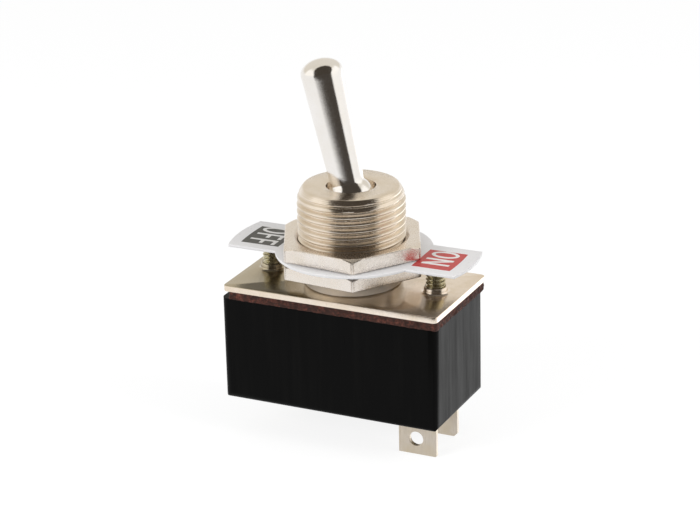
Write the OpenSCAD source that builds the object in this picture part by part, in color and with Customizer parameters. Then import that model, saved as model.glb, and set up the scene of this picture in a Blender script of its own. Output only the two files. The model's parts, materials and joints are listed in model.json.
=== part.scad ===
// Panel toggle switch: on-off, bat lever, threaded bushing, two solder lugs.
// The origin is on the bushing axis at the outer face of the upper nut, where the free thread starts.
// +Z runs towards the lever, X along the body with the lugs at +X, Y across it.

/* [Bushing] */
// Outside diameter of the bushing thread
bushing_d = 11.9; // [9.9:0.1:14.3]
// Height of the bushing above the upper nut
bushing_above = 5.65; // [4.7:0.05:6.8]
// Depth of the thread
thread_depth = 0.45; // [0.3:0.05:0.55]
// How far the bushing's crowned rim falls in at the top
rim_inset = 0.73; // [0.4:0.01:0.9]
// Height of the crowned rim
rim_h = 1.85; // [1:0.05:2.2]
// Diameter of the mouth that the lever comes out of
mouth_d = 5.44; // [4.6:0.02:6.5]
// Wall of the spigot that is rolled over under the cover plate
spigot_wall = 0.6; // [0.4:0.05:0.8]
// Thickness of the rolled-over lip
lip_t = 0.45; // [0.3:0.05:0.55]

/* [Nuts and label] */
// Width of the nuts across their flats
nut_flats = 14.8; // [13.8:0.1:17.8]
// Thickness of a nut
nut_h = 1.6; // [1.3:0.05:1.95]
// Turn of both nuts about the bushing
nut_turn = -64.6; // [-90:0.1:90]
// How far the chamfer comes down at the corners of a nut
nut_chamfer = 0.35; // [0.25:0.05:0.5]
// Free height between the cover plate and the lower nut
neck_h = 1.75; // [1.4:0.05:2.1]
// Thickness of the on-off label plate
label_t = 0.45; // [0.35:0.05:0.55]
// Radius of the ring of the label plate
label_ring_r = 8.7; // [8:0.05:10]
// Radius of the round ends of the label plate's two tabs
label_tab_r = 14.05; // [11.7:0.05:16.9]
// Width of the two tabs
label_tab_w = 8; // [6.7:0.1:9.6]
// Turn of the label plate from the body's line
label_turn = 0.8; // [-5:0.1:5]
// Play of the label plate on the bushing, all round
label_play = 0.4; // [0.3:0.05:0.5]
// How far the label plate was clamped off centre towards the lug end
label_shift_x = 0.16; // [-0.2:0.01:0.2]
// How far it was clamped off centre towards the back
label_shift_y = 0.16; // [-0.2:0.01:0.2]

/* [Lever] */
// Length of the lever above its pivot
lever_above = 15.83; // [13.2:0.01:19]
// Diameter of the bat at its thick end
bat_d = 4.58; // [3.8:0.02:5]
// Diameter of the bat where it leaves the ball
bat_neck_d = 3.76; // [3.2:0.02:4]
// Height of the rounded end of the bat
dome_h = 1.47; // [1.2:0.01:1.8]
// Depth of the pivot below the bushing's top
pivot_depth = 1.65; // [1.4:0.05:1.8]
// Lean of the lever from upright at either stop
lean = 12.83; // [10.7:0.01:14]
// Diameter of the lever below the ball
shank_d = 3.6; // [3.4:0.05:3.8]
// Diameter of the pivot pin
pin_d = 1.2; // [1:0.05:1.3]

/* [Cover plate and insulator] */
// How much longer than the housing the cover plate is
plate_longer = -0.3; // [-0.5:0.05:1]
// How much wider than the housing the cover plate is
plate_wider = 0.65; // [0.3:0.05:1]
// Thickness of the cover plate
plate_t = 0.7; // [0.55:0.05:0.85]
// Shift of the cover plate towards the lug end
plate_shift = 0.2; // [-0.3:0.05:0.3]
// Shift of the cover plate towards the front
plate_forward = 0.1; // [0:0.05:0.2]
// Radius of the cover plate's corners
plate_corner_r = 0.5; // [0.2:0.1:1]
// Outside diameter of the drawn collars that the screws hold in
collar_d = 2.6; // [2.45:0.05:3]
// Height of the drawn collars
collar_h = 0.75; // [0.5:0.05:1]
// Thickness of the fibre insulator
insulator_t = 1; // [0.8:0.05:1.2]
// How much shorter than the housing the insulator is
insulator_shorter = 0.7; // [0.2:0.05:0.8]
// Shift of the insulator towards the lug end
insulator_shift = 0.37; // [0:0.01:0.5]

/* [Housing] */
// Length of the housing
body_l = 25.8; // [25:0.1:31]
// Width of the housing
body_w = 13.1; // [12.6:0.1:15.8]
// Height of the housing
body_h = 12; // [10:0.1:14.4]
// Shift of the housing away from the lug end
body_shift = 0.2; // [0:0.05:0.4]
// Radius of the housing's upright corners
corner_r = 0.9; // [0.5:0.1:1.2]
// Radius round the foot of the housing
foot_r = 0.8; // [0.3:0.1:0.9]
// Thickness of the housing's walls
wall_t = 1.3; // [1:0.1:1.4]
// Thickness of the floor under the middle of the trough
floor_t = 2.7; // [2.4:0.1:3]
// Radius of the posts that the screws pass through
post_r = 2.15; // [1.8:0.05:2.3]

/* [Screws] */
// Diameter of the screw shanks
screw_d = 2.2; // [1.8:0.05:2.3]
// Distance of the screws from the housing's ends
screw_inset = 3; // [2.6:0.05:3.1]
// How far a screw stands above the cover plate
screw_above = 2.6; // [2.1:0.1:3.1]
// Diameter of the screw heads
screw_head_d = 3.9; // [3.2:0.1:4.1]
// Height of the screw heads
screw_head_h = 1.2; // [1:0.1:1.4]
// Width of the slot in a screw head
screw_slot = 0.6; // [0.5:0.1:0.8]

/* [Solder lugs] */
// Width of a solder lug
lug_w = 4.5; // [3.7:0.1:5.2]
// Length of a lug below the housing
lug_l = 4.5; // [3.7:0.1:5.4]
// Thickness of the lugs
lug_t = 0.5; // [0.4:0.05:0.6]
// Distance between the middles of the two lugs
lug_apart = 5.8; // [5.5:0.1:6.3]
// Distance from a lug's outer edge to the housing's end wall face
lug_inset = 1.55; // [1.3:0.05:1.8]
// Diameter of the hole in a lug
lug_hole_d = 1.64; // [1.3:0.02:2]
// Distance of the hole's middle below the housing
lug_hole_drop = 2.65; // [2.2:0.05:3.1]
// Distance of the hole's middle from the lug's middle, towards the other end
lug_hole_shift = 0.15; // [0:0.05:0.3]
// Size of the corner cut off the lug at the back
lug_cut = 0.4; // [0.2:0.05:0.8]

/* [Roller and plunger] */
// Radius of the contact roller
roller_r = 1.28; // [1.1:0.02:1.5]
// Length of the contact roller
roller_l = 7; // [6.6:0.1:7.6]
// Height of the plunger's saddle
saddle_h = 3.3; // [2.8:0.1:4]
// Width of the saddle across the switch
saddle_w = 4.2; // [3.6:0.1:4.8]
// Thickness of the saddle along the switch
saddle_t = 3.6; // [3.2:0.1:4.2]
// Free travel of the plunger into the lever
plunger_travel = 1.2; // [0.8:0.1:1.4]
// Length of the plunger's stem
stem_l = 5; // [4:0.1:6]
// Bore of the lever that holds spring and stem
spring_bore_d = 2.3; // [2:0.05:2.5]
// Depth of that bore
spring_bore_l = 10; // [9:0.1:10.4]
// Wire diameter of the spring
wire_d = 0.3; // [0.2:0.02:0.4]
// Turns of the spring
spring_turns = 8; // [6:1:10]

/* [Hidden] */
$fn = 72;
// clearances
run_gap = 0.05;    // radial, between a part that turns and its seat
press_gap = 0.01;  // radial, where a part is pressed in
slot_gap = 0.03;   // each side of a blade in its slot
roll_gap = 0.02;   // between the roller and what it rolls on
stop_gap = 0.05;   // between the lever and its stop
loose_gap = 0.15;  // round a screw
hole_gap = 0.7;    // radial, between the spigot and the hole in the insulator
stem_gap = 0.02;   // each end of the spring
over = 0.5;        // how far a cut runs past a face

// levels
label_top = -nut_h;
lower_nut_top = label_top - label_t;
lower_nut_base = lower_nut_top - nut_h;
plate_top = lower_nut_base - neck_h;
plate_base = plate_top - plate_t;
body_top = plate_base - insulator_t;
body_base = body_top - body_h;
pivot_z = bushing_above - pivot_depth;

// bushing
bushing_r = bushing_d / 2;
core_r = bushing_r - thread_depth;
mouth_r = mouth_d / 2;
ball_r = mouth_r - run_gap;
stop_depth = pivot_z - plate_base + lip_t;
// the shank's side just reaches the spigot's lower edge at full lean
stop_r = (shank_d / 2 + stop_depth * sin(lean)) / cos(lean) + stop_gap;
spigot_r = stop_r + spigot_wall;
neck_r = max(core_r - 0.1, spigot_r + 0.3);
neck_top = lower_nut_base - 0.4;
lip_r = spigot_r + 0.4;
lip_top = plate_base - press_gap;
pin_r = pin_d / 2;
pin_half = stop_r - 0.3;
keeper_top = pivot_z - pin_r - run_gap;
keeper_base = keeper_top - 0.8;
thread_start = -0.15;

// nuts
nut_corner_r = nut_flats / sqrt(3);
nut_face_r = nut_corner_r - nut_chamfer / tan(30);
countersink = 0.35;

// lever, measured down its own axis from the pivot
trough_r = pivot_z - body_base - floor_t;
roller_s = trough_r - roll_gap - roller_r;
saddle_base_s = roller_s + 0.35;
saddle_top_s = saddle_base_s - saddle_h;
shank_end_s = saddle_top_s - plunger_travel;
stem_top_s = saddle_top_s - stem_l;
bore_top_s = shank_end_s - spring_bore_l;
coil_r = spring_bore_d / 2 - 0.12 - wire_d / 2;
coil_pitch = (stem_top_s - bore_top_s - wire_d - 2 * stem_gap) / spring_turns;

// housing and blades
cavity_w = body_w - 2 * wall_t;
cavity_corner_r = 0.4;
insulator_corner_r = 0.3;
screw_x = body_l / 2 - screw_inset;
lug_out = body_l / 2 - body_shift - lug_inset;
lug_in = lug_out - lug_w;
lug_base = body_base - lug_l;
trough_half = lug_in + 0.4;
web_w = 2 * post_r - 1.6;
pocket_floor = body_base + floor_t - 0.4;
blade_top = pocket_floor + 1.2;
blade_end = -(roller_s * sin(lean) + roller_r + 0.6);
blade_foot = body_base + 0.9;
blade_drop = 0.5;
lug_deburr = 0.1;
blade_gap_end = 0.8;

// screws
screw_hole_r = screw_d / 2 + loose_gap;
screw_sunk = 0.2;
screw_head_base = body_base + screw_sunk;
screw_top = plate_top + screw_above;
screw_lead = 0.2;

// A rectangle with round corners, centred
module round_rect(l, w, r) {
    square([l - 2 * r, w], center = true);
    square([l, w - 2 * r], center = true);
    for (x = [-1, 1], y = [-1, 1])
        translate([x * (l / 2 - r), y * (w / 2 - r)]) circle(r = r);
}

// A wall section with its two lower corners rounded, standing on y = 0
module footed(l, h, r) {
    translate([-l / 2, r]) square([l, h - r]);
    translate([-l / 2 + r, 0]) square([l - 2 * r, h]);
    for (x = [-1, 1]) translate([x * (l / 2 - r), r]) circle(r = r);
}

// Points of an arc from angle a0 to a1 about the origin
function arc(r, a0, a1, n) = [for (i = [0:n]) let(a = a0 + (a1 - a0) * i / n) [r * cos(a), r * sin(a)]];

// Puts its children in the lever's frame: the pivot is the origin, the bat leans away from the lugs
module on_lever() {
    translate([0, 0, pivot_z]) rotate([0, -lean, 0]) children();
}

// Lays a drawing in the X-Z plane and gives it a thickness about the place y
module upright(y, t) {
    translate([0, y + t / 2, 0]) rotate([90, 0, 0]) linear_extrude(height = t) children();
}

// Outer form of the housing: round upright corners and a round foot
module housing_form() {
    intersection() {
        linear_extrude(height = body_h) round_rect(body_l, body_w, corner_r);
        rotate([90, 0, 0]) translate([0, 0, -body_w]) linear_extrude(height = 2 * body_w)
            footed(body_l, body_h + over, foot_r);
        rotate([90, 0, 90]) translate([0, 0, -body_l]) linear_extrude(height = 2 * body_l)
            footed(body_w, body_h + over, foot_r);
    }
}

// Space inside the housing: a trough round the pivot, and a pocket at each end about the screw post
module housing_space() {
    inner_l = body_l - 2 * wall_t;
    intersection() {
        translate([-trough_half, -cavity_w / 2, body_base])
            cube([2 * trough_half, cavity_w, body_h + over]);
        translate([0, 0, pivot_z]) rotate([90, 0, 0])
            cylinder(r = trough_r, h = 2 * body_w, center = true, $fn = 180);
    }
    difference() {
        translate([-body_shift, 0, pocket_floor]) linear_extrude(height = body_h)
            round_rect(inner_l, cavity_w, cavity_corner_r);
        translate([-trough_half, -body_w, body_base]) cube([2 * trough_half, 2 * body_w, body_h + over]);
        for (s = [-1, 1]) {
            translate([s * screw_x, 0, body_base]) cylinder(r = post_r, h = body_h + over);
            translate([s * (screw_x + body_l / 2), 0, body_base + body_h / 2])
                cube([body_l, web_w, body_h + 2 * over], center = true);
        }
    }
}

// Side view of a terminal's blade: solder lug, shoulder and the arm that the roller runs on
module blade_outline(gap = 0) {
    translate([lug_in - gap, lug_base]) square([lug_w + 2 * gap, blade_top - lug_base]);
    difference() {
        translate([blade_end - gap, blade_foot - gap])
            square([lug_in + over - blade_end + gap, 2 * floor_t]);
        translate([0, pivot_z]) circle(r = trough_r, $fn = 180);
        if (gap == 0) {
            intersection() {
                translate([0, pivot_z]) circle(r = trough_r + blade_drop, $fn = 180);
                translate([blade_gap_end, blade_foot - over]) square([lug_in - blade_gap_end, body_h]);
            }
        }
    }
}

module housing() {
    color([0.09, 0.09, 0.09]) difference() {
        translate([-body_shift, 0, body_base]) housing_form();
        housing_space();
        for (s = [-1, 1]) {
            translate([s * screw_x, 0, body_base - over]) cylinder(r = screw_hole_r, h = body_h + 2 * over);
            translate([s * screw_x, 0, body_base - over])
                cylinder(r = screw_head_d / 2 + loose_gap, h = over + screw_sunk + screw_head_h);
            upright(s * lug_apart / 2, lug_t + 2 * slot_gap) blade_outline(slot_gap);
        }
    }
}

module insulator() {
    color([0.3, 0.12, 0.08]) translate([0, 0, body_top]) linear_extrude(height = insulator_t)
        difference() {
            translate([insulator_shift, 0])
                round_rect(body_l - insulator_shorter, body_w + plate_wider - 0.3, insulator_corner_r);
            circle(r = spigot_r + hole_gap);
            for (s = [-1, 1]) translate([s * screw_x, 0]) circle(r = screw_hole_r);
        }
}

module cover_plate() {
    color([0.75, 0.73, 0.68]) difference() {
        union() {
            translate([plate_shift, -plate_forward, plate_base]) linear_extrude(height = plate_t)
                round_rect(body_l + plate_longer, body_w + plate_wider, plate_corner_r);
            for (s = [-1, 1])
                translate([s * screw_x, 0, plate_base]) cylinder(d = collar_d, h = plate_t + collar_h);
        }
        translate([0, 0, plate_base - over]) cylinder(r = spigot_r + press_gap, h = plate_t + 2 * over);
        for (s = [-1, 1])
            translate([s * screw_x, 0, plate_base - over])
                cylinder(r = screw_d / 2 + press_gap, h = plate_t + collar_h + 2 * over);
    }
}

// Turned bushing: crowned rim, free thread, core under the nuts, neck and rolled-over spigot
module bushing() {
    rim_r = (rim_inset * rim_inset + rim_h * rim_h) / (2 * rim_inset);
    rim_sweep = asin(rim_h / rim_r);
    rim = [for (p = arc(rim_r, 0, rim_sweep, 6)) [p[0] + bushing_r - rim_r, p[1] + bushing_above - rim_h]];
    profile = concat(
        [[mouth_r, bushing_above], [mouth_r, keeper_top], [stop_r, keeper_top]],
        [[stop_r, plate_base - lip_t], [lip_r, plate_base - lip_t], [lip_r, lip_top], [spigot_r, lip_top]],
        [[spigot_r, plate_top], [neck_r, plate_top], [neck_r, neck_top]],
        [[core_r, neck_top], [core_r, thread_start], [bushing_r, thread_start]],
        rim);
    color([0.78, 0.73, 0.64]) difference() {
        rotate_extrude() polygon(profile);
        for (s = [0, 180]) rotate([0, 0, s]) translate([-pin_r - run_gap, 0, keeper_top - over])
            cube([pin_d + 2 * run_gap, pin_half + run_gap, over + pin_d + 2 * run_gap]);
    }
}

module pin_keeper() {
    color([0.72, 0.6, 0.35]) rotate_extrude()
        translate([mouth_r, keeper_base]) square([stop_r - press_gap - mouth_r, keeper_top - keeper_base]);
}

module pivot_pin() {
    color([0.6, 0.6, 0.62]) translate([0, 0, pivot_z]) rotate([90, 0, 0])
        cylinder(r = pin_r, h = 2 * pin_half, center = true);
}

// One turned piece: bat, ball and hollow shank
module lever() {
    neck_s = sqrt(ball_r * ball_r - bat_neck_d * bat_neck_d / 4);
    shank_s = sqrt(ball_r * ball_r - shank_d * shank_d / 4);
    dome = [for (i = [1:8]) [bat_d / 2 * cos(i * 90 / 8), lever_above - dome_h + dome_h * sin(i * 90 / 8)]];
    ball = arc(ball_r, -asin(shank_s / ball_r), asin(neck_s / ball_r), 16);
    profile = concat(
        [[spring_bore_d / 2, -shank_end_s], [shank_d / 2, -shank_end_s]],
        ball,
        [[bat_d / 2, lever_above - dome_h]], dome,
        [[0, -bore_top_s], [spring_bore_d / 2, -bore_top_s]]);
    color([0.8, 0.8, 0.82]) on_lever() difference() {
        rotate_extrude() polygon(profile);
        rotate([90, 0, 0]) cylinder(r = pin_r + press_gap, h = 2 * ball_r + 2, center = true);
    }
}

// Ring number k of the spring's wire, n to a turn
function coil(k, n, sides) = let(a = 360 * k / n)
    [for (j = [0:sides - 1]) let(b = 360 * j / sides)
        [(coil_r + wire_d / 2 * cos(b)) * cos(a), (coil_r + wire_d / 2 * cos(b)) * sin(a),
            coil_pitch * k / n + wire_d / 2 * sin(b)]];

module lever_spring() {
    n = 16;
    sides = 6;
    rings = n * spring_turns;
    points = [for (k = [0:rings]) each coil(k, n, sides)];
    sidewalls = [for (k = [0:rings - 1], j = [0:sides - 1]) let(m = (j + 1) % sides)
        [k * sides + j, k * sides + m, (k + 1) * sides + m, (k + 1) * sides + j]];
    color([0.7, 0.7, 0.7]) on_lever() translate([0, 0, -stem_top_s + wire_d / 2 + stem_gap])
        polyhedron(points, concat([[for (j = [0:sides - 1]) sides - 1 - j]], sidewalls,
            [[for (j = [0:sides - 1]) rings * sides + j]]));
}

// Moulded plunger: stem in the lever's bore and a saddle that rides on the roller
module plunger() {
    color([0.85, 0.82, 0.72]) on_lever() difference() {
        union() {
            translate([0, 0, -saddle_top_s]) cylinder(r = spring_bore_d / 2 - run_gap, h = stem_l);
            translate([-saddle_t / 2, -saddle_w / 2, -saddle_base_s])
                cube([saddle_t, saddle_w, saddle_h]);
        }
        translate([0, 0, -roller_s]) rotate([90, 0, 0])
            cylinder(r = roller_r + roll_gap, h = saddle_w + 2, center = true);
    }
}

module contact_roller() {
    color([0.8, 0.45, 0.3]) on_lever() translate([0, 0, -roller_s]) rotate([90, 0, 0])
        cylinder(r = roller_r, h = roller_l, center = true);
}

module terminal(y, cut) {
    color([0.72, 0.68, 0.6]) upright(y, lug_t) difference() {
        blade_outline();
        translate([(lug_in + lug_out) / 2 - lug_hole_shift, body_base - lug_hole_drop])
            circle(d = lug_hole_d);
        translate([lug_out, lug_base]) rotate(45) square(sqrt(2) * cut, center = true);
    }
}

module terminal_front() {
    terminal(-lug_apart / 2, lug_deburr);
}

module terminal_back() {
    terminal(lug_apart / 2, lug_cut);
}

// Cheese-head screw that comes up through the housing from below
module screw(x) {
    color([0.6, 0.57, 0.45]) translate([x, 0, 0]) difference() {
        union() {
            translate([0, 0, screw_head_base]) cylinder(d = screw_head_d, h = screw_head_h);
            translate([0, 0, screw_head_base])
                cylinder(d = screw_d, h = screw_top - screw_lead - screw_head_base);
            translate([0, 0, screw_top - screw_lead])
                cylinder(r1 = screw_d / 2, r2 = screw_d / 2 - screw_lead, h = screw_lead);
        }
        translate([-screw_head_d, -screw_slot / 2, screw_head_base - over])
            cube([2 * screw_head_d, screw_slot, over + screw_head_h / 2]);
    }
}

module screw_left() {
    screw(-screw_x);
}

module screw_right() {
    screw(screw_x);
}

// Thin hexagon nut, chamfered on its upper face, standing on z
module nut(z) {
    color([0.8, 0.78, 0.73]) translate([0, 0, z]) difference() {
        intersection() {
            rotate(nut_turn) cylinder(r = nut_corner_r, h = nut_h, $fn = 6);
            rotate_extrude() polygon([[0, 0], [nut_corner_r + over, 0],
                [nut_corner_r + over, nut_h - nut_chamfer - over * tan(30)],
                [nut_face_r, nut_h], [0, nut_h]]);
        }
        translate([0, 0, -over]) cylinder(r = core_r + run_gap, h = nut_h + 2 * over);
        translate([0, 0, nut_h - bushing_r - countersink + core_r])
            cylinder(r1 = core_r, r2 = bushing_r + countersink + over,
                h = thread_depth + countersink + over);
    }
}

module lower_nut() {
    nut(lower_nut_base);
}

module upper_nut() {
    nut(-nut_h);
}

module label_plate() {
    color([0.88, 0.88, 0.86]) translate([0, 0, lower_nut_top]) linear_extrude(height = label_t)
        difference() {
            translate([label_shift_x, label_shift_y]) rotate(label_turn) {
                circle(r = label_ring_r);
                intersection() {
                    circle(r = label_tab_r);
                    square([2 * label_tab_r, label_tab_w], center = true);
                }
            }
            translate([label_shift_x, label_shift_y]) circle(r = bushing_r + label_play);
        }
}

housing();
insulator();
cover_plate();
bushing();
pin_keeper();
pivot_pin();
lever();
lever_spring();
plunger();
contact_roller();
terminal_front();
terminal_back();
screw_left();
screw_right();
lower_nut();
label_plate();
upper_nut();
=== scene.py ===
"""Panel toggle switch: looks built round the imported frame. Lengths in this file are millimetres until MM."""
import json
import math

import bmesh
import bpy
from mathutils import Matrix, Vector, noise


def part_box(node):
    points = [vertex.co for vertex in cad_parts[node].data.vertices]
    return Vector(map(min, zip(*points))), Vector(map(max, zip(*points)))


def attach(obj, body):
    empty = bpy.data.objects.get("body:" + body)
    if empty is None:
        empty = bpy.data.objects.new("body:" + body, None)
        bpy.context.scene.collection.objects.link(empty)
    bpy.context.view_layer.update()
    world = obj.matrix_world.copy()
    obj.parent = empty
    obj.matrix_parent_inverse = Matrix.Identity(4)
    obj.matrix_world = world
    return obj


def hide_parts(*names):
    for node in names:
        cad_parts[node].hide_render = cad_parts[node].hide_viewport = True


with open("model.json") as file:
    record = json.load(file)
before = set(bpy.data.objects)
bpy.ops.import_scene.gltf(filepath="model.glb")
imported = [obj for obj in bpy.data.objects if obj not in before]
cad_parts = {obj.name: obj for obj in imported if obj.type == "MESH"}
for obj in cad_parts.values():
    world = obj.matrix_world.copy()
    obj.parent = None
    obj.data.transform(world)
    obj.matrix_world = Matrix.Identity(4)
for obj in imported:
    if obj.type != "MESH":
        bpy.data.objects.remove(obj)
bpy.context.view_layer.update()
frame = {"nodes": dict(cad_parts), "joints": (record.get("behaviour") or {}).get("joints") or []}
MM = 0.001


# ---------------------------------------------------------------- sizes, read from the frame
def top(node):
    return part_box(node)[1].z / MM


def base(node):
    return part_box(node)[0].z / MM


NUT_H = top("upper_nut") - base("upper_nut")
LABEL_TOP = top("label_plate")
LABEL_T = LABEL_TOP - base("label_plate")
LOWER_NUT_BASE = base("lower_nut")
PLATE_BASE = base("cover_plate")
PLATE_T = 0.7
PLATE_TOP = PLATE_BASE + PLATE_T
BUSHING_TOP = top("bushing")
BUSHING_BASE = base("bushing")
PIVOT_Z = [j for j in frame["joints"] if j["name"] == "lever_throw"][0]["pos_m"][2] / MM
LEAN = math.radians(12.83)

THREAD_R = 5.95
CORE_R = 5.5
PITCH = 25.4 / 32
MOUTH_R = 2.72
STOP_R = 4.2988
SPIGOT_R = STOP_R + 0.6
NECK_R = 5.4
PIN_SLOT_R = 0.65
SCREW_X = 9.9
SCREW_R = 1.1
NUT_TURN = math.radians(-64.6)
NUT_FLATS = 14.8


# ---------------------------------------------------------------- node helpers
class Wiring:
    """Short ways to add and join nodes in one node tree."""

    def __init__(self, tree, coord):
        self.tree = tree
        self.coord = tree.nodes.new("ShaderNodeTexCoord").outputs[coord]

    def link(self, a, b):
        self.tree.links.new(a, b)

    def mapped(self, scale):
        node = self.tree.nodes.new("ShaderNodeMapping")
        node.inputs["Scale"].default_value = scale
        self.link(self.coord, node.inputs["Vector"])
        return node.outputs[0]

    def noise(self, scale, detail=3.0, rough=0.55, stretch=(1, 1, 1)):
        """Noise whose scale is in features per millimetre."""
        node = self.tree.nodes.new("ShaderNodeTexNoise")
        node.inputs["Scale"].default_value = scale / MM
        node.inputs["Detail"].default_value = detail
        node.inputs["Roughness"].default_value = rough
        self.link(self.mapped(stretch), node.inputs["Vector"])
        return node.outputs["Fac"]

    def ramp(self, source, *stops):
        node = self.tree.nodes.new("ShaderNodeValToRGB")
        elements = node.color_ramp.elements
        while len(elements) < len(stops):
            elements.new(0.5)
        for element, (pos, value) in zip(elements, stops):
            element.position = pos
            element.color = (*value, 1) if isinstance(value, tuple) else (value, value, value, 1)
        self.link(source, node.inputs[0])
        return node.outputs[0]

    def maths(self, kind, a, b=None, c=None):
        node = self.tree.nodes.new("ShaderNodeMath")
        node.operation = kind
        for i, v in enumerate((a, b, c)):
            if v is None:
                continue
            if isinstance(v, (int, float)):
                node.inputs[i].default_value = v
            else:
                self.link(v, node.inputs[i])
        return node.outputs[0]

    def mix(self, factor, a, b):
        node = self.tree.nodes.new("ShaderNodeMix")
        node.data_type = "RGBA"
        sockets = [s for s in node.inputs if s.type == "RGBA"]
        for socket, v in ((node.inputs[0], factor), (sockets[0], a), (sockets[1], b)):
            if isinstance(v, (int, float)):
                socket.default_value = v
            elif isinstance(v, tuple):
                socket.default_value = (*v, 1)
            else:
                self.link(v, socket)
        return [s for s in node.outputs if s.type == "RGBA"][0]

    def bump(self, height, strength, distance, before=None):
        """distance in millimetres."""
        node = self.tree.nodes.new("ShaderNodeBump")
        node.inputs["Strength"].default_value = strength
        node.inputs["Distance"].default_value = distance * MM
        self.link(height, node.inputs["Height"])
        if before is not None:
            self.link(before, node.inputs["Normal"])
        return node.outputs[0]

    def axis(self, name):
        node = self.tree.nodes.new("ShaderNodeSeparateXYZ")
        self.link(self.coord, node.inputs[0])
        return node.outputs[name]

    def radius(self):
        """Distance from the bushing's axis, in metres."""
        node = self.tree.nodes.new("ShaderNodeVectorMath")
        node.operation = "LENGTH"
        self.link(self.mapped((1, 1, 0)), node.inputs[0])
        return node.outputs["Value"]


class Look(Wiring):
    """A material being wired: every value that is the same all over sits on the shader's own socket."""

    def __init__(self, name, colour, rough, metal=0.0, **sockets):
        self.mat = bpy.data.materials.new(name)
        self.mat.use_nodes = True
        tree = self.mat.node_tree
        tree.nodes.clear()
        super().__init__(tree, "Object")
        self.bsdf = tree.nodes.new("ShaderNodeBsdfPrincipled")
        self.link(self.bsdf.outputs[0], tree.nodes.new("ShaderNodeOutputMaterial").inputs[0])
        self.bsdf.inputs["Base Color"].default_value = (*colour, 1)
        self.bsdf.inputs["Roughness"].default_value = rough
        self.bsdf.inputs["Metallic"].default_value = metal
        for key, value in sockets.items():
            self.bsdf.inputs[key.replace("_", " ")].default_value = value

    def put(self, socket, source):
        self.link(source, self.bsdf.inputs[socket])


# ---------------------------------------------------------------- materials
def top_only(m, level):
    """1 on what lies within a twentieth of a millimetre of a level, 0 well below it."""
    return m.ramp(m.maths("MULTIPLY_ADD", m.axis("Z"), 1 / MM, 0.5 - level), (0.40, 0.0), (0.46, 1.0))


def nickel(name, colour, rough, warm=0.03, grain=0.02, spots=0.25):
    """Bright nickel plate: cloudy warmth, fine scuffs and a few darker specks."""
    m = Look(name, colour, rough, metal=1.0)
    cloud = m.noise(0.35, 3, 0.6)
    fine = m.noise(6.0, 5, 0.65)
    darker = tuple(c * (1 - warm * k) for c, k in zip(colour, (2.2, 3.0, 4.6)))
    tone = m.mix(m.ramp(cloud, (0.35, 0.0), (0.7, 1.0)), colour, darker)
    speck = m.ramp(m.noise(2.3, 2, 0.5), (0.70, 0.0), (0.76, spots))
    m.put("Base Color", m.mix(speck, tone, tuple(c * 0.55 for c in colour)))
    m.put("Roughness", m.ramp(fine, (0.3, rough * 0.75), (0.75, rough * 1.5)))
    scuff = m.noise(3.0, 4, 0.6, stretch=(1, 1, 6))
    m.put("Normal", m.bump(scuff, 0.35, grain, m.bump(fine, 0.3, grain * 0.5)))
    return m


def turned(name, colour, rough, rings=9.0, depth=0.01):
    """Nickel-plated brass, with the lathe's fine rings about the bushing axis."""
    m = nickel(name, colour, rough, warm=0.035, grain=0.012, spots=0.12)
    wave = m.maths("SINE", m.maths("MULTIPLY", m.radius(), rings * 2 * math.pi / MM))
    fine = m.noise(5.0, 4, 0.6)
    height = m.maths("MULTIPLY_ADD", fine, 0.8, wave)
    old = m.bsdf.inputs["Normal"].links[0].from_socket
    m.put("Normal", m.bump(height, 0.4, depth, old))
    return m


LOOKS = {}


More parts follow.
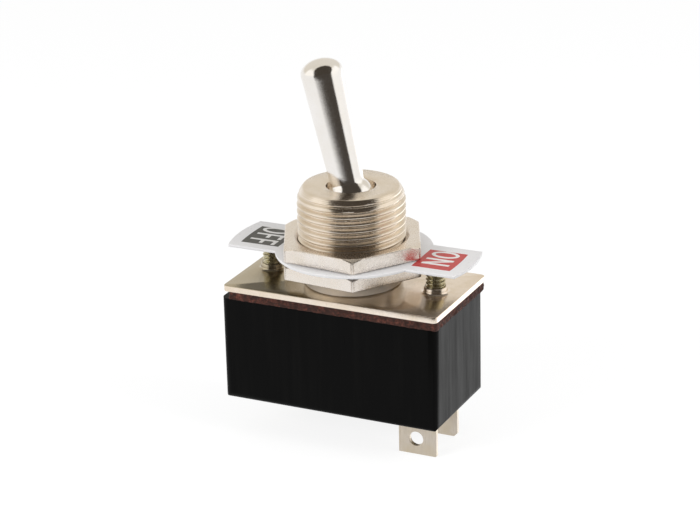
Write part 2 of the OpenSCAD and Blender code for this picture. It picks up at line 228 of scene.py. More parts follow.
def make_looks():
    LOOKS["nut_nickel"] = nickel("nut_nickel_plate", (0.86, 0.80, 0.745), 0.26, grain=0.03)
    m = nickel("plate_nickel_satin", (0.90, 0.80, 0.70), 0.20, warm=0.05, grain=0.02, spots=0.35)
    unreflected_tone = m.bsdf.inputs["Base Color"].links[0].from_socket
    # painted reflection: the top face is mixed towards dark brown on the left and in cloudy patches, standing in for
    # the dark room and shaded nuts that the plate mirrors
    patch = m.noise(0.22, 3, 0.6)
    along = m.maths("ADD", m.maths("MULTIPLY", m.axis("X"), 0.04 / MM), m.maths("MULTIPLY", patch, 0.9))
    painted_reflection = m.ramp(along, (0.20, 0.85), (0.75, 0.0))
    m.put("Base Color", m.mix(m.maths("MULTIPLY", painted_reflection, top_only(m, PLATE_TOP)), unreflected_tone, (0.42, 0.37, 0.26)))
    LOOKS["plate_steel"] = m
    m = turned("bushing_turned_nickel", (0.82, 0.735, 0.635), 0.2)
    below_nut = m.maths("MULTIPLY_ADD", m.axis("Z"), -0.5 / MM, LOWER_NUT_BASE * 0.5 + 0.45)
    neck = m.ramp(below_nut, (0.45, 0.0), (0.55, 1.0))
    m.put("Metallic", m.ramp(neck, (0.0, 1.0), (1.0, 0.35)))
    LOOKS["bushing_nickel"] = m
    m = nickel("lever_bright_plate", (0.88, 0.855, 0.83), 0.10, warm=0.02, grain=0.012, spots=0.15)
    LOOKS["lever_chrome"] = m
    m = nickel("screw_yellow_zinc", (0.60, 0.56, 0.40), 0.24, warm=0.08, grain=0.02, spots=0.5)
    LOOKS["screw_zinc"] = m

    m = Look("lug_tinned_brass", (0.62, 0.55, 0.47), 0.38, metal=0.9)
    cloud = m.noise(0.5, 4, 0.6)
    streak = m.noise(1.2, 4, 0.6, stretch=(6, 6, 0.6))
    tinned = m.mix(m.ramp(streak, (0.4, 0.0), (0.75, 0.5)), (0.64, 0.575, 0.50), (0.52, 0.46, 0.38))
    m.put("Base Color", m.mix(m.ramp(cloud, (0.35, 0.0), (0.7, 1.0)), tinned, (0.60, 0.52, 0.40)))
    m.put("Roughness", m.ramp(streak, (0.3, 0.30), (0.8, 0.48)))
    m.put("Normal", m.bump(streak, 0.4, 0.02))
    LOOKS["lug_tin"] = m

    m = Look("phenolic_black_moulding", (0.003, 0.003, 0.003), 0.34, IOR=1.14)
    cloud = m.noise(0.25, 3, 0.6)
    streak = m.noise(0.9, 4, 0.6, stretch=(1.6, 1.6, 0.10))
    dust = m.ramp(m.noise(3.2, 3, 0.6), (0.66, 0.0), (0.78, 0.5))
    black = m.mix(m.ramp(streak, (0.45, 0.0), (0.8, 1.0)), (0.0024, 0.0024, 0.0024), (0.0045, 0.0044, 0.0042))
    m.put("Base Color", m.mix(dust, black, (0.010, 0.0095, 0.009)))
    polish = m.ramp(streak, (0.3, 0.24), (0.75, 0.42))
    m.put("Roughness", m.maths("ADD", polish, m.maths("MULTIPLY", cloud, 0.08)))
    pits = m.noise(7.0, 3, 0.6)
    m.put("Normal", m.bump(pits, 0.25, 0.012, m.bump(streak, 0.3, 0.03)))
    LOOKS["phenolic_black"] = m

    m = Look("fibre_red_brown", (0.10, 0.04, 0.03), 0.75, IOR=1.4)
    flake = m.noise(2.2, 5, 0.7)
    layers = m.noise(2.0, 4, 0.65, stretch=(1, 1, 5))
    tone = m.ramp(flake, (0.30, (0.016, 0.010, 0.009)), (0.48, (0.055, 0.024, 0.018)),
                  (0.62, (0.15, 0.05, 0.035)), (0.78, (0.27, 0.13, 0.10)))
    m.put("Base Color", m.mix(m.ramp(layers, (0.35, 0.0), (0.65, 0.7)), tone, (0.035, 0.016, 0.013)))
    m.put("Normal", m.bump(flake, 0.8, 0.10, m.bump(layers, 0.6, 0.06)))
    LOOKS["fibre_brown"] = m

    m = Look("label_white_lacquer", (0.80, 0.79, 0.79), 0.32, IOR=1.45)
    cloud = m.noise(0.4, 3, 0.6)
    smear = m.ramp(m.noise(1.4, 4, 0.65), (0.60, 0.0), (0.80, 0.35))
    m.put("Base Color", m.mix(smear, m.mix(cloud, (0.81, 0.80, 0.80), (0.75, 0.74, 0.745)), (0.55, 0.54, 0.52)))
    m.put("Roughness", m.ramp(m.noise(3.0, 3, 0.6), (0.3, 0.26), (0.75, 0.42)))
    m.put("Normal", m.bump(m.noise(2.5, 4, 0.6), 0.2, 0.02))
    LOOKS["label_white"] = m

    def ink(name, colour, lighter):
        m = Look(name, colour, 0.4, IOR=1.45)
        worn = m.ramp(m.noise(1.8, 4, 0.65), (0.45, 0.0), (0.8, 0.6))
        m.put("Base Color", m.mix(worn, colour, lighter))
        m.put("Roughness", m.ramp(m.noise(4.0, 3, 0.6), (0.3, 0.32), (0.75, 0.5)))
        m.put("Normal", m.bump(m.noise(5.0, 3, 0.6), 0.2, 0.008))
        return m

    LOOKS["ink_black"] = ink("label_ink_black", (0.042, 0.042, 0.034), (0.075, 0.075, 0.062))
    LOOKS["ink_red"] = ink("label_ink_red", (0.52, 0.045, 0.045), (0.42, 0.10, 0.07))
    LOOKS["ink_white"] = ink("label_ink_white", (0.80, 0.79, 0.77), (0.72, 0.70, 0.68))

    m = nickel("brass_plain_turned", (0.72, 0.52, 0.24), 0.28, warm=0.04)
    LOOKS["brass_plain"] = m
    m = nickel("spring_steel_drawn", (0.52, 0.52, 0.52), 0.3, warm=0.0)
    LOOKS["spring_steel"] = m
    m = nickel("copper_contact_rolled", (0.78, 0.40, 0.24), 0.25, warm=0.05)
    LOOKS["copper_contact"] = m
    m = Look("acetal_natural", (0.78, 0.74, 0.62), 0.45, IOR=1.48)
    m.put("Base Color", m.mix(m.noise(0.6, 3, 0.6), (0.80, 0.76, 0.64), (0.72, 0.67, 0.54)))
    m.put("Roughness", m.ramp(m.noise(3.0, 3, 0.6), (0.3, 0.38), (0.75, 0.55)))
    m.put("Normal", m.bump(m.noise(4.0, 3, 0.6), 0.25, 0.015))
    LOOKS["acetal_cream"] = m


# ---------------------------------------------------------------- mesh helpers
def arc(cx, cy, r, a0, a1, n):
    return [(cx + r * math.cos(a0 + (a1 - a0) * i / n), cy + r * math.sin(a0 + (a1 - a0) * i / n))
            for i in range(n + 1)]


def finish_mesh(bm, name, sharp=40.0):
    bmesh.ops.remove_doubles(bm, verts=bm.verts, dist=2e-4)
    bmesh.ops.dissolve_degenerate(bm, edges=bm.edges, dist=1e-4)
    bmesh.ops.recalc_face_normals(bm, faces=bm.faces)
    for v in bm.verts:
        v.co *= MM
    mesh = bpy.data.meshes.new(name)
    bm.to_mesh(mesh)
    bm.free()
    mesh.shade_smooth()
    mesh.set_sharp_from_angle(angle=math.radians(sharp))
    return mesh


def place(mesh, name, body, slot, look=None, stands_for=()):
    obj = bpy.data.objects.new(name, mesh)
    bpy.context.scene.collection.objects.link(obj)
    mesh.materials.clear()
    mesh.materials.append(LOOKS[look or slot].mat)
    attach(obj, body)
    if stands_for:
        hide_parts(*stands_for)
    return obj


def lathe(profile, steps, closed=True, shape=None):
    """Turns a profile of (r, z) about the Z axis; shape(angle, r, z) may move a point."""
    bm = bmesh.new()
    rings = []
    for i in range(steps):
        a = 2 * math.pi * i / steps
        ring = []
        for r, z in profile:
            rr, zz = shape(a, r, z) if shape else (r, z)
            ring.append(bm.verts.new((rr * math.cos(a), rr * math.sin(a), zz)))
        rings.append(ring)
    count = len(profile)
    for i in range(steps):
        one, two = rings[i], rings[(i + 1) % steps]
        for k in range(count if closed else count - 1):
            n = (k + 1) % count
            bm.faces.new((one[k], two[k], two[n], one[n]))
    return bm


def rim_points(points, d):
    """A closed flat outline moved inwards by d, for an outline that runs anticlockwise."""
    out = []
    n = len(points)
    for i in range(n):
        a, p, b = Vector(points[i - 1]), Vector(points[i]), Vector(points[(i + 1) % n])
        e0, e1 = (p - a).normalized(), (b - p).normalized()
        n0, n1 = Vector((-e0.y, e0.x)), Vector((-e1.y, e1.x))
        m = n0 + n1
        m = m / max(m.length_squared / 2, 0.3)
        out.append((p.x + m.x * d, p.y + m.y * d))
    return out


def sheet_metal(outline, holes, z0, z1, edge, rows=1, steps=2, rough_edge=None, hole_edge=None):
    """A flat piece with rounded edges: outline and holes are closed loops, all anticlockwise."""
    bm = bmesh.new()
    hole_edge = edge if hole_edge is None else hole_edge
    caps = {0: [], 1: []}
    for number, loop in enumerate([outline] + list(holes)):
        sign = 1 if number == 0 else -1
        e = edge if number == 0 else hole_edge
        levels = []
        for k in range(steps + 1):
            t = math.pi / 2 * k / steps
            levels.append((e * (1 - math.sin(t)), z0 + e * (1 - math.cos(t))))
        for k in range(1, rows):
            levels.append((0.0, z0 + e + (z1 - z0 - 2 * e) * k / rows))
        for k in range(steps + 1):
            t = math.pi / 2 * (1 - k / steps)
            levels.append((e * (1 - math.sin(t)), z1 - e * (1 - math.cos(t))))
        rings = []
        for d, z in levels:
            ring = []
            for x, y in rim_points(loop, d * sign):
                if rough_edge and number == 0:
                    x, y, zz = rough_edge(x, y, z)
                    ring.append(bm.verts.new((x, y, zz)))
                else:
                    ring.append(bm.verts.new((x, y, z)))
            rings.append(ring)
        for one, two in zip(rings, rings[1:]):
            for i in range(len(one)):
                j = (i + 1) % len(one)
                bm.faces.new((one[i], one[j], two[j], two[i]))
        caps[0].append(rings[0])
        caps[1].append(rings[-1])
    for rings in caps.values():
        edges = []
        for ring in rings:
            for i in range(len(ring)):
                e = bm.edges.get((ring[i], ring[(i + 1) % len(ring)]))
                edges.append(e)
        bmesh.ops.triangle_fill(bm, use_beauty=True, use_dissolve=False, edges=edges)
    return bm


def circle(cx, cy, r, n=72):
    return [(cx + r * math.cos(2 * math.pi * i / n), cy + r * math.sin(2 * math.pi * i / n)) for i in range(n)]


def round_box(x0, x1, y0, y1, r, n=6):
    out = []
    for cx, cy, a in ((x1 - r, y1 - r, 0), (x0 + r, y1 - r, 90), (x0 + r, y0 + r, 180), (x1 - r, y0 + r, 270)):
        out += arc(cx, cy, r, math.radians(a), math.radians(a + 90), n)
    return out


def combine(target, tools, kind):
    """Exact boolean of mesh objects, applied; the tools are removed."""
    for tool in tools:
        mod = target.modifiers.new("cut", "BOOLEAN")
        mod.operation = kind
        mod.solver = "EXACT"
        mod.object = tool
    bpy.context.view_layer.update()
    mesh = bpy.data.meshes.new_from_object(target.evaluated_get(bpy.context.evaluated_depsgraph_get()))
    target.modifiers.clear()
    old = target.data
    target.data = mesh
    bpy.data.meshes.remove(old)
    for tool in tools:
        bpy.data.objects.remove(tool)


def loose(mesh, name):
    obj = bpy.data.objects.new(name, mesh)
    bpy.context.scene.collection.objects.link(obj)
    return obj


def block(name, x, y, z):
    bm = bmesh.new()
    bmesh.ops.create_cube(bm, size=1)
    for v in bm.verts:
        v.co = Vector(((x[0] + x[1]) / 2 + v.co.x * (x[1] - x[0]), (y[0] + y[1]) / 2 + v.co.y * (y[1] - y[0]),
                       (z[0] + z[1]) / 2 + v.co.z * (z[1] - z[0])))
    return loose(finish_mesh(bm, name), name)


# ---------------------------------------------------------------- pieces
def screw_thread(phase, depth, sharpness):
    """How deep a rounded V thread is cut at a phase from 0 to 1."""
    return depth * (0.5 - 0.5 * math.cos(2 * math.pi * phase)) ** sharpness


def make_bushing():
    crown_inset, crown_h = 0.73, 1.85
    thread_depth, thread_sharpness, thread_end = 0.43, 1.25, -0.72
    rows_per_pitch = 14
    crown_r = (crown_inset ** 2 + crown_h ** 2) / (2 * crown_inset)

    def crown(z):
        up = z - (BUSHING_TOP - crown_h)
        if up <= 0:
            return THREAD_R
        return THREAD_R - crown_r + math.sqrt(max(crown_r ** 2 - up ** 2, 0))

    def shape(a, r, z):
        if r < 0:
            if z <= thread_end:
                return CORE_R, z
            limit = min(crown(z), CORE_R + max(0.0, z - thread_end))
            t = (z / PITCH - a / (2 * math.pi)) % 1.0
            return min(limit, max(CORE_R, THREAD_R - screw_thread(t, thread_depth, thread_sharpness))), z
        return r, z

    z_low, z_high = -0.9, BUSHING_TOP - 0.06
    rows = int((z_high - z_low) / (PITCH / rows_per_pitch))
    thread = [(-1, z_low + (z_high - z_low) * i / rows) for i in range(rows + 1)]
    rim = crown(BUSHING_TOP)
    keeper_top = PIVOT_Z - PIN_SLOT_R
    lip = BUSHING_BASE
    lip_r, lip_top = SPIGOT_R + 0.4, PLATE_BASE - 0.01
    profile = [(MOUTH_R + 0.12, BUSHING_TOP), (MOUTH_R + 0.03, BUSHING_TOP - 0.035),
               (MOUTH_R, BUSHING_TOP - 0.12), (MOUTH_R, keeper_top), (STOP_R, keeper_top), (STOP_R, lip),
               (lip_r, lip), (lip_r, lip_top), (SPIGOT_R, lip_top), (SPIGOT_R, PLATE_TOP),
               (NECK_R - 0.15, PLATE_TOP), (NECK_R, PLATE_TOP + 0.15), (NECK_R, LOWER_NUT_BASE - 0.4),
               (CORE_R, LOWER_NUT_BASE - 0.3)]
    profile += thread
    profile += [(rim - 0.03, BUSHING_TOP - 0.02), (rim - 0.09, BUSHING_TOP), (rim - 0.9, BUSHING_TOP),
                (MOUTH_R + 0.9, BUSHING_TOP)]
    bm = lathe(profile, 200, shape=shape)
    obj = loose(finish_mesh(bm, "bushing_threaded", 50), "bushing_threaded")
    slot_x, slot_z = (-PIN_SLOT_R, PIN_SLOT_R), (keeper_top - 0.5, PIVOT_Z + PIN_SLOT_R)
    tools = [block("cut_a", slot_x, (0, STOP_R - 0.25), slot_z),
             block("cut_b", slot_x, (-STOP_R + 0.25, 0), slot_z)]
    combine(obj, tools, "DIFFERENCE")
    mesh = obj.data
    bpy.data.objects.remove(obj)
    mesh.shade_smooth()
    mesh.set_sharp_from_angle(angle=math.radians(50))
    place(mesh, "bushing_threaded", "base", "bushing_nickel", stands_for=["bushing"])


def make_nut(name, z0, node, seed):
    """A thin hexagon nut: crisp upright edges, a chamfer and a worn round on its upper face."""
    apothem = NUT_FLATS / 2
    corner = apothem / math.cos(math.pi / 6)
    chamfer_h = 0.35
    chamfer_r = corner - chamfer_h / math.tan(math.pi / 6)
    round_r = 0.14
    edge = 0.16
    low_edge = 0.12
    half_steps, bunching = 24, 2.2

    def hexagon(a):
        b = (a - NUT_TURN + math.pi / 6) % (math.pi / 3) - math.pi / 6
        flat = apothem / math.cos(math.pi / 6 - abs(b))
        inner = corner - round_r / math.cos(math.pi / 6)
        inside = round_r ** 2 - (inner * math.sin(b)) ** 2
        if inside <= 0:
            return flat
        return min(flat, inner * math.cos(b) + math.sqrt(inside))

    # angles bunched towards the corners, where the outline turns
    angles = []
    for k in range(6):
        for t in range(2 * half_steps):
            u = t / half_steps - 1
            b = math.copysign(abs(u) ** bunching, u) * math.pi / 6
            angles.append(NUT_TURN + k * math.pi / 3 + b)
    bore = CORE_R + 0.05
    bm = bmesh.new()
    columns = []
    for a in angles:
        wobble = noise.noise(Vector((math.cos(a) * 3.1, math.sin(a) * 3.1, seed * 7.7)))
        R = hexagon(a)
        h = NUT_H
        drop = max(0.0, (R - chamfer_r) * math.tan(math.pi / 6))
        wall_top = h - drop
        tilt = math.pi / 6 if drop > 0 else 0.0
        e = edge * (1 + 0.35 * wobble) * (1.0 if drop < 0.02 else 0.62)
        column = [(bore, 0.0), (bore + 0.3, 0.0), (R - low_edge, 0.0)]
        column += [(R - low_edge * (1 - math.sin(t)), low_edge * (1 - math.cos(t))) for t in
                   [math.pi / 2 * k / 4 for k in range(1, 5)]]
        column += [(R, low_edge + (wall_top - e - low_edge) * k / 3) for k in range(1, 3)]
        # round from the wall onto the face or the chamfer
        reach = e * math.tan((math.pi / 2 - tilt) / 2)
        centre = (R - e, wall_top - reach)
        column += [(centre[0] + e * math.cos(t), centre[1] + e * math.sin(t))
                   for t in [(math.pi / 2 - tilt) * k / 5 for k in range(6)]]
        last = column[-1]
        inner_r = min(chamfer_r, last[0] - 0.02)
        column += [(inner_r + (last[0] - inner_r) * 0.5, last[1] + (h - last[1]) * 0.5), (inner_r, h),
                   (inner_r - 0.15, h), (inner_r - 0.5, h), (6.6, h), (6.42, h), (6.30, h - 0.05),
                   (bore, h - 0.8), (bore, h * 0.25)]
        columns.append([bm.verts.new((r * math.cos(a), r * math.sin(a), z0 + z)) for r, z in column])
    for i in range(len(columns)):
        one, two = columns[i], columns[(i + 1) % len(columns)]
        for k in range(len(one)):
            n = (k + 1) % len(one)
            bm.faces.new((one[k], two[k], two[n], one[n]))
    place(finish_mesh(bm, name, 24), name, "base", "nut_nickel", stands_for=[node])


def make_lever():
    ball_r = MOUTH_R - 0.05
    neck_r, bat_r, above, dome = 1.88, 2.29, 15.83, 1.47
    shank_r, bore_r = 1.8, 1.15
    shank_end, bore_top = 14.95, 4.95
    neck_s = math.sqrt(ball_r ** 2 - neck_r ** 2)
    shank_s = math.sqrt(ball_r ** 2 - shank_r ** 2)
    profile = [(bore_r, -shank_end), (shank_r - 0.15, -shank_end), (shank_r, -shank_end + 0.15)]
    profile += [(shank_r, -shank_end + (shank_end - shank_s) * k / 6) for k in range(1, 6)]
    profile += arc(0, 0, ball_r, -math.asin(shank_s / ball_r), math.asin(neck_s / ball_r) - 0.05, 24)
    bat = []
    bat_from, bat_steps = neck_s + 0.18, 24
    for k in range(bat_steps + 1):
        z = bat_from + (above - dome - bat_from) * k / bat_steps
        bat.append((neck_r + (bat_r - neck_r) * (z - neck_s) / (above - dome - neck_s), z))
    profile += [(neck_r + 0.02, neck_s + 0.06)] + bat
    profile += [(bat_r * math.cos(math.pi / 2 * k / 20), above - dome + dome * math.sin(math.pi / 2 * k / 20))
                for k in range(1, 21)]
    profile += [(0.0, -bore_top), (bore_r, -bore_top)]
    bm = lathe(profile, 96)
    to_rest = Matrix.Translation((0, 0, PIVOT_Z)) @ Matrix.Rotation(-LEAN, 4, "Y")
    bmesh.ops.transform(bm, verts=bm.verts, matrix=to_rest)
    place(finish_mesh(bm, "lever_bat", 32), "lever_bat", "lever", "lever_chrome", stands_for=["lever"])


def make_plate():
    low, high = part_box("cover_plate")
    outline = round_box(low.x / MM, high.x / MM, low.y / MM, high.y / MM, 0.5)
    holes = [circle(0, 0, SPIGOT_R + 0.01, 96)]
    bm = sheet_metal(outline, holes, PLATE_BASE, PLATE_TOP, 0.09, hole_edge=0.03, steps=3)
    plate = loose(finish_mesh(bm, "cover_plate_sheet", 30), "cover_plate_sheet")
    collars = []
    collar_r, foot, bore = 1.3, 0.42, SCREW_R + 0.01
    rim, root = PLATE_TOP + 0.75, PLATE_BASE - 0.3
    for s in (-1, 1):
        profile = [(bore, root), (collar_r + foot, root), (collar_r + foot, PLATE_TOP - 0.02)]
        profile += [(collar_r + foot * (1 - math.sin(t)), PLATE_TOP + foot * 0.75 * (1 - math.cos(t)))
                    for t in [math.pi / 2 * k / 6 for k in range(7)]]
        profile += [(collar_r, rim - 0.16), (collar_r - 0.05, rim - 0.05), (collar_r - 0.1, rim), (bore, rim)]
        bm = lathe(profile, 48)
        bmesh.ops.translate(bm, verts=bm.verts, vec=(s * SCREW_X, 0, 0))
        collars.append(loose(finish_mesh(bm, "collar", 30), "collar"))
    tools = []
    for s in (-1, 1):
        bm = lathe([(0, PLATE_BASE - 1), (bore, PLATE_BASE - 1), (bore, PLATE_TOP + 2), (0, PLATE_TOP + 2)], 48,
                   closed=False)
        bmesh.ops.translate(bm, verts=bm.verts, vec=(s * SCREW_X, 0, 0))
        tools.append(loose(finish_mesh(bm, "hole"), "hole"))
    combine(plate, collars, "UNION")
    below = block("trim", (-20, 20), (-10, 10), (PLATE_BASE - 2, PLATE_BASE))
    combine(plate, tools + [below], "DIFFERENCE")
    mesh = plate.data
    bpy.data.objects.remove(plate)
    mesh.shade_smooth()
    mesh.set_sharp_from_angle(angle=math.radians(30))
    place(mesh, "cover_plate_sheet", "base", "plate_steel", stands_for=["cover_plate"])


def make_insulator():
    low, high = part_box("insulator")
    x0, x1, y0, y1 = low.x / MM, high.x / MM, low.y / MM, high.y / MM
    corners = round_box(x0, x1, y0, y1, 0.3, 3)
    step = 0.14
    outline = []
    for i, p in enumerate(corners):
        q = corners[(i + 1) % len(corners)]
        n = max(1, int(math.dist(p, q) / step))
        outline += [(p[0] + (q[0] - p[0]) * k / n, p[1] + (q[1] - p[1]) * k / n) for k in range(n)]

    def ragged(x, y, z):
        torn = noise.fractal(Vector((x * 1.7, y * 1.7, z * 2.4)), 0.7, 2.0, 4)
        chip = max(0.0, noise.noise(Vector((x * 0.9 + 7, y * 0.9, z * 1.3))) - 0.25)
        d = max(0.0, min(0.45, 0.06 + 0.10 * torn + 0.35 * chip))
        cx = max(x0 + 0.6, min(x1 - 0.6, x))
        cy = max(y0 + 0.6, min(y1 - 0.6, y))
        to = Vector((cx - x, cy - y))
        if to.length > 0:
            to.normalize()
        return x + to.x * d, y + to.y * d, z

    holes = [circle(0, 0, SPIGOT_R + 0.7)] + [circle(s * SCREW_X, 0, SCREW_R + 0.15, 32) for s in (1, -1)]
    bm = sheet_metal(outline, holes, base("insulator"), top("insulator"), 0.05, rows=7, steps=1,
                     rough_edge=ragged)
    place(finish_mesh(bm, "insulator_fibre", 60), "insulator_fibre", "base", "fibre_brown", stands_for=["insulator"])


def make_screws():
    pitch, depth = 0.45, 0.2
    top_z = top("screw_left")
    head_z, head_h, head_r = base("screw_left"), 1.2, 1.95
    thread_from = PLATE_TOP + 0.3

    def shape(a, r, z):
        if r >= 0:
            return r, z
        t = (z / pitch - a / (2 * math.pi)) % 1.0
        cut = screw_thread(t, depth, 1.2)
        end = min(1.0, max(0.0, (z - thread_from) / 0.3))
        tip = max(0.0, z - (top_z - 0.3))
        return min(SCREW_R - cut * end, SCREW_R - 0.02 - tip * 0.9), z

    for s, side in ((-1, "left"), (1, "right")):
        rows = int((top_z - 0.02 - thread_from) / (pitch / 10))
        profile = [(0, head_z), (head_r - 0.15, head_z), (head_r, head_z + 0.12), (head_r, head_z + head_h),
                   (SCREW_R, head_z + head_h), (SCREW_R, thread_from - 0.05)]
        profile += [(-1, thread_from + (top_z - 0.02 - thread_from) * k / rows) for k in range(rows + 1)]
        profile += [(0.55, top_z), (0, top_z)]
        bm = lathe(profile, 64, closed=False, shape=shape)
        bmesh.ops.translate(bm, verts=bm.verts, vec=(s * SCREW_X, 0, 0))
        name = f"screw_{side}_threaded"
        obj = loose(finish_mesh(bm, name, 40), name)
        slot = block("slot", (s * SCREW_X - 3, s * SCREW_X + 3), (-0.3, 0.3), (head_z - 0.5, head_z + 0.6))
        combine(obj, [slot], "DIFFERENCE")
        mesh = obj.data
        bpy.data.objects.remove(obj)
        mesh.shade_smooth()
        mesh.set_sharp_from_angle(angle=math.radians(40))
        place(mesh, name, "base", "screw_zinc", stands_for=[f"screw_{side}"])


LABEL_SHIFT = (0.16, 0.16)
LABEL_TURN = math.radians(0.8)
LABEL_GAP = 0.12
LABEL_FACE = LABEL_TOP - LABEL_GAP
INK_T = 0.012
INK_EDGE = 0.004


def label_frame(x, y):
    """A point of the label's own plan, in the frame."""
    c, s = math.cos(LABEL_TURN), math.sin(LABEL_TURN)
    return LABEL_SHIFT[0] + x * c - y * s, LABEL_SHIFT[1] + x * s + y * c


def make_label():
    ring, tab, end_r, bulge = 8.7, 4.0, 14.05, 0.12
    a, a_end = math.asin(tab / ring), math.asin(tab / end_r)
    outline = arc(0, 0, end_r, -a_end, a_end, 16)
    outline += arc(0, 0, ring, a, math.pi - a, 48)
    outline += arc(0, 0, end_r, math.pi - a_end, math.pi + a_end, 16)
    outline += arc(0, 0, ring, math.pi + a, 2 * math.pi - a, 48)
    outline = [label_frame(*p) for p in outline]
    hole = circle(LABEL_SHIFT[0], LABEL_SHIFT[1], THREAD_R + 0.4)
    bm = sheet_metal(outline, [hole], LABEL_TOP - LABEL_T, LABEL_FACE, 0.06)
    place(finish_mesh(bm, "label_sheet", 35), "label_sheet", "base", "label_white", stands_for=["label_plate"])
    # the printed fields: a straight side towards the bushing and a round one outside
    for name, look, x0, x1, y0, y1, mirror in (("label_field_off", "ink_black", 7.95, 12.5, -2.75, 2.5, -1),
                                               ("label_field_on", "ink_red", 7.97, 12.4, -2.75, 2.5, 1)):
        middle, half = (y0 + y1) / 2, (y1 - y0) / 2
        outer = [(x1 + bulge * (1 - ((y - middle) / half) ** 2), y)
                 for y in [y0 + (y1 - y0) * k / 10 for k in range(1, 10)]]
        field = [(x0, y0), (x1, y0)] + outer + [(x1, y1), (x0, y1)]
        field = [label_frame(mirror * x, y) for x, y in field]
        if mirror < 0:
            field.reverse()
        bm = sheet_metal(field, [], LABEL_FACE, LABEL_FACE + INK_T, INK_EDGE, steps=1)
        place(finish_mesh(bm, name, 35), name, "base", "label_white", look)


def letter_bars(word):
    """Bars and rings of a word, in letter heights: reading runs along u, up is v."""
    shapes = []
    u = 0.0
    w = 0.13
    for ch in word:
        if ch == "O":
            width = 0.60
            outer = [(u + width / 2 + width / 2 * math.cos(t), 0.5 + 0.5 * math.sin(t))
                     for t in [2 * math.pi * k / 40 for k in range(40)]]
            inner = [(u + width / 2 + (width / 2 - w) * math.cos(t), 0.5 + (0.5 - w) * math.sin(t))
                     for t in [2 * math.pi * k / 40 for k in range(40)]]
            shapes.append((outer, [inner]))
        elif ch == "F":
            width = 0.46
            shapes.append(([(u, 0), (u + w, 0), (u + w, 0.42), (u + width * 0.86, 0.42), (u + width * 0.86, 0.42 + w),
                            (u + w, 0.42 + w), (u + w, 1 - w), (u + width, 1 - w), (u + width, 1), (u, 1)], []))
        elif ch == "N":
            width = 0.56
            shapes.append(([(u, 0), (u + w, 0), (u + w, 0.72), (u + width - w, 0), (u + width, 0), (u + width, 1),
                            (u + width - w, 1), (u + width - w, 0.28), (u + w, 1), (u, 1)], []))
        u += width + 0.12
    return shapes, u - 0.12


def make_words():
    for word, name, x0, height, y_mid, squeeze in (("OFF", "label_word_off", -12.0, 3.4, 0.05, 0.86),
                                                   ("ON", "label_word_on", 8.6, 3.2, 0.4, 1.0)):
        shapes, width = letter_bars(word)
        whole = bmesh.new()
        for outer, inner in shapes:
            def to(p):
                u, v = p
                return label_frame(x0 + v * height, y_mid + (width / 2 - u) * height * squeeze)
            loop = [to(p) for p in outer]
            area = sum(loop[i - 1][0] * loop[i][1] - loop[i][0] * loop[i - 1][1] for i in range(len(loop)))
            if area < 0:
                loop.reverse()
            rings = []
            for r in inner:
                ring = [to(p) for p in r]
                if sum(ring[i - 1][0] * ring[i][1] - ring[i][0] * ring[i - 1][1] for i in range(len(ring))) < 0:
                    ring.reverse()
                rings.append(ring)
            bm = sheet_metal(loop, rings, LABEL_FACE + INK_T, LABEL_FACE + 2 * INK_T, INK_EDGE, steps=1)
            mesh = bpy.data.meshes.new("letter")
            bm.to_mesh(mesh)
            bm.free()
            whole.from_mesh(mesh)
            bpy.data.meshes.remove(mesh)
        place(finish_mesh(whole, name, 35), name, "base", "label_white", "ink_white")


def soften(node, look, width, segments=3):
    """A carried-over CAD node: its edges get a small round, and it gets a better finish."""
    obj = frame["nodes"][node]
    obj.data.materials.clear()
    obj.data.materials.append(LOOKS[look].mat)
    if not width:
        return
    weld = obj.modifiers.new("weld", "WELD")
    weld.merge_threshold = 1e-7
    flat = obj.modifiers.new("flat", "DECIMATE")
    flat.decimate_type = "DISSOLVE"
    flat.angle_limit = math.radians(1.0)
    bevel = obj.modifiers.new("edge", "BEVEL")
    bevel.width = width * MM
    bevel.segments = segments
    bevel.limit_method = "ANGLE"
    bevel.angle_limit = math.radians(40)
    bevel.harden_normals = False


def dress_cad_nodes():
    soften("housing", "phenolic_black", 0.12)
    soften("terminal_front", "lug_tin", 0.05, 2)
    soften("terminal_back", "lug_tin", 0.05, 2)
    soften("pin_keeper", "brass_plain", 0)
    soften("pivot_pin", "spring_steel", 0)
    soften("lever_spring", "spring_steel", 0)
    soften("plunger", "acetal_cream", 0)
    soften("contact_roller", "copper_contact", 0)


# ---------------------------------------------------------------- studio
CAMERA_SIDE = -64.1    # degrees, plan direction from the switch towards the camera


def make_floor():
    """Plain pale floor. The camera sees it nearly white, and the object's shadow stays on it."""
    floor_z = base("terminal_front") - 0.03
    reach, grey, glow_seen = 3000, 0.24, 0.82
    bm = bmesh.new()
    bmesh.ops.create_grid(bm, x_segments=8, y_segments=8, size=reach)
    bmesh.ops.translate(bm, verts=bm.verts, vec=(0, 0, floor_z))
    for v in bm.verts:
        v.co *= MM
    mesh = bpy.data.meshes.new("floor")
    bm.to_mesh(mesh)
    bm.free()
    obj = bpy.data.objects.new("floor", mesh)
    bpy.context.scene.collection.objects.link(obj)
    mat = bpy.data.materials.new("floor_white")
    mat.use_nodes = True
    t = mat.node_tree
    t.nodes.clear()
    out = t.nodes.new("ShaderNodeOutputMaterial")
    diffuse = t.nodes.new("ShaderNodeBsdfDiffuse")
    diffuse.inputs["Color"].default_value = (grey, grey, grey, 1)
    glow = t.nodes.new("ShaderNodeEmission")
    path = t.nodes.new("ShaderNodeLightPath")
    seen = t.nodes.new("ShaderNodeMath")
    seen.operation = "MULTIPLY"
    seen.inputs[1].default_value = glow_seen
    add = t.nodes.new("ShaderNodeAddShader")
    t.links.new(path.outputs["Is Camera Ray"], seen.inputs[0])
    t.links.new(seen.outputs[0], glow.inputs["Strength"])
    t.links.new(diffuse.outputs[0], add.inputs[0])
    t.links.new(glow.outputs[0], add.inputs[1])
    t.links.new(add.outputs[0], out.inputs[0])
    mesh.materials.append(mat)
    obj.visible_glossy = False


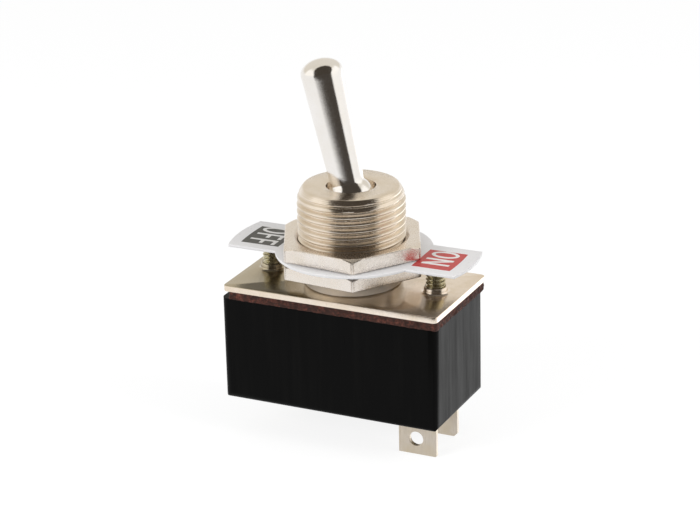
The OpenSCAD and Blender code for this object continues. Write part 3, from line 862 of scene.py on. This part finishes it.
def make_world():
    """White table all round; what shines also sees the dim room above it that the camera stands in."""
    diffuse_strength = 0.52
    table, upper = (1.0, 1.0, 1.0), (0.80, 0.76, 0.685)
    horizon = (0.02, 0.30)
    # masks are a low end, a high end and how soft the ends are: turns in degrees, heights 1 at the zenith
    middle = 5.0
    side_windows = {"turns": (40, 112, 10), "heights": (-0.02, 0.72, 0.12), "tint": (1.16, 1.14, 1.10)}
    low_patch = {"turns": (108, 150, 10), "heights": (-0.62, -0.14, 0.06), "tint": (1.9, 1.9, 1.9)}
    room_tint, room_cover = (0.036, 0.027, 0.019), 0.97
    room_edge, room_rise, room_soft = 0.66, 0.84, 0.05
    room_foot = (-0.35, -0.18)

    world = bpy.data.worlds.new("studio")
    bpy.context.scene.world = world
    world.use_nodes = True
    t = world.node_tree
    t.nodes.clear()
    wiring = Wiring(t, "Generated")
    x, y, z = (wiring.axis(k) for k in "XYZ")

    def both(a, b):
        return wiring.maths("MULTIPLY", a, b)

    def along(angle):
        """How far the direction points towards an angle in plan."""
        c, s = math.cos(math.radians(angle)), math.sin(math.radians(angle))
        return wiring.maths("MULTIPLY_ADD", x, c, both(y, s))

    def step(source, low, high, rising=True):
        node = t.nodes.new("ShaderNodeMapRange")
        node.interpolation_type = "SMOOTHSTEP"
        node.inputs["From Min"].default_value = low
        node.inputs["From Max"].default_value = high
        node.inputs["To Min"].default_value = 0.0 if rising else 1.0
        node.inputs["To Max"].default_value = 1.0 if rising else 0.0
        wiring.link(source, node.inputs["Value"])
        return node.outputs[0]

    def window(source, low, high, soft):
        return both(step(source, low - soft, low + soft), step(source, high - soft, high + soft, False))

    def add_window(colour, turns_source, turns, heights, tint):
        return wiring.mix(both(window(turns_source, *turns), window(z, *heights)), colour, tint)

    def background(colour, strength):
        node = t.nodes.new("ShaderNodeBackground")
        if isinstance(colour, tuple):
            node.inputs["Color"].default_value = (*colour, 1)
        else:
            wiring.link(colour, node.inputs["Color"])
        node.inputs["Strength"].default_value = strength
        return node.outputs[0]

    def choose(factor, a, b):
        node = t.nodes.new("ShaderNodeMixShader")
        for socket, source in zip(node.inputs, (factor, a, b)):
            wiring.link(source, socket)
        return node.outputs[0]

    # turn: degrees from the camera's side, anticlockwise seen from above; z: height of the direction
    flat = wiring.maths("SQRT", wiring.maths("ADD", both(x, x), both(y, y)))
    flat = wiring.maths("MAXIMUM", flat, 0.001)
    ahead = wiring.maths("DIVIDE", along(CAMERA_SIDE), flat)
    aside = wiring.maths("DIVIDE", along(CAMERA_SIDE + 90), flat)
    turn = both(wiring.maths("ARCTAN2", aside, ahead), 180 / math.pi)
    off_middle = wiring.maths("ABSOLUTE", wiring.maths("SUBTRACT", turn, middle))
    colour = wiring.mix(step(z, *horizon), table, upper)
    colour = add_window(colour, off_middle, **side_windows)
    colour = add_window(colour, turn, **low_patch)
    # the dim room: over the camera at full height, its foot lost in the table's glare
    high = wiring.maths("MAXIMUM", z, 0.0)
    brink = wiring.maths("MULTIPLY_ADD", both(high, high), room_rise, -room_edge)
    room = step(wiring.maths("ADD", along(CAMERA_SIDE + middle), brink), -room_soft, room_soft)
    room = both(both(room, step(z, *room_foot)), room_cover)
    colour = wiring.mix(room, colour, room_tint)

    path = t.nodes.new("ShaderNodeLightPath").outputs
    shines = wiring.maths("MAXIMUM", path["Is Glossy Ray"], path["Is Transmission Ray"])
    lit = choose(shines, background((1, 1, 1), diffuse_strength), background(colour, 1.0))
    surface = choose(path["Is Camera Ray"], lit, background((1, 1, 1), 1.0))
    wiring.link(surface, t.nodes.new("ShaderNodeOutputWorld").inputs[0])


def area_light(name, place_mm, size_mm, power):
    """A soft light aimed at the middle of the switch; what shines doesn't show it."""
    target_mm = (0, 0, -5)
    data = bpy.data.lights.new(name, "AREA")
    data.shape = "RECTANGLE"
    data.size, data.size_y = size_mm[0] * MM, size_mm[1] * MM
    data.energy = power
    obj = bpy.data.objects.new(name, data)
    bpy.context.scene.collection.objects.link(obj)
    obj.location = Vector(place_mm) * MM
    obj.rotation_euler = (Vector(target_mm) - Vector(place_mm)).to_track_quat("-Z", "Y").to_euler()
    obj.visible_glossy = False


def make_lights():
    area_light("softbox_left", (-170, -300, 110), (180, 180), 0.95)
    area_light("softbox_right", (260, -20, 130), (140, 180), 0.45)


def make_camera():
    """At the photograph's viewing angle."""
    azimuth, elevation, roll = (math.radians(angle) for angle in (25.893, 20.968, -1.370))
    place_mm = (111.206, -229.781, 99.820 + PLATE_TOP)
    back = Vector((math.sin(azimuth) * math.cos(elevation), -math.cos(azimuth) * math.cos(elevation),
                   math.sin(elevation)))
    right = Vector((math.cos(azimuth), math.sin(azimuth), 0))
    up = back.cross(right)
    r = right * math.cos(roll) + up * math.sin(roll)
    u = up * math.cos(roll) - right * math.sin(roll)
    data = bpy.data.cameras.new("camera")
    data.sensor_width = 36
    data.lens = 128.25
    data.clip_start = 0.01
    data.clip_end = 20
    obj = bpy.data.objects.new("camera", data)
    bpy.context.scene.collection.objects.link(obj)
    m = Matrix((r, u, back)).transposed().to_4x4()
    m.translation = Vector(place_mm) * MM
    obj.matrix_world = m
    bpy.context.scene.camera = obj


make_camera()
make_looks()
make_bushing()
make_nut("upper_nut_hex", -NUT_H, "upper_nut", 1)
make_nut("lower_nut_hex", LOWER_NUT_BASE, "lower_nut", 2)
make_lever()
make_plate()
make_insulator()
make_screws()
make_label()
make_words()
dress_cad_nodes()
make_floor()
make_world()
make_lights()
bpy.context.scene.view_settings.view_transform = "Standard"
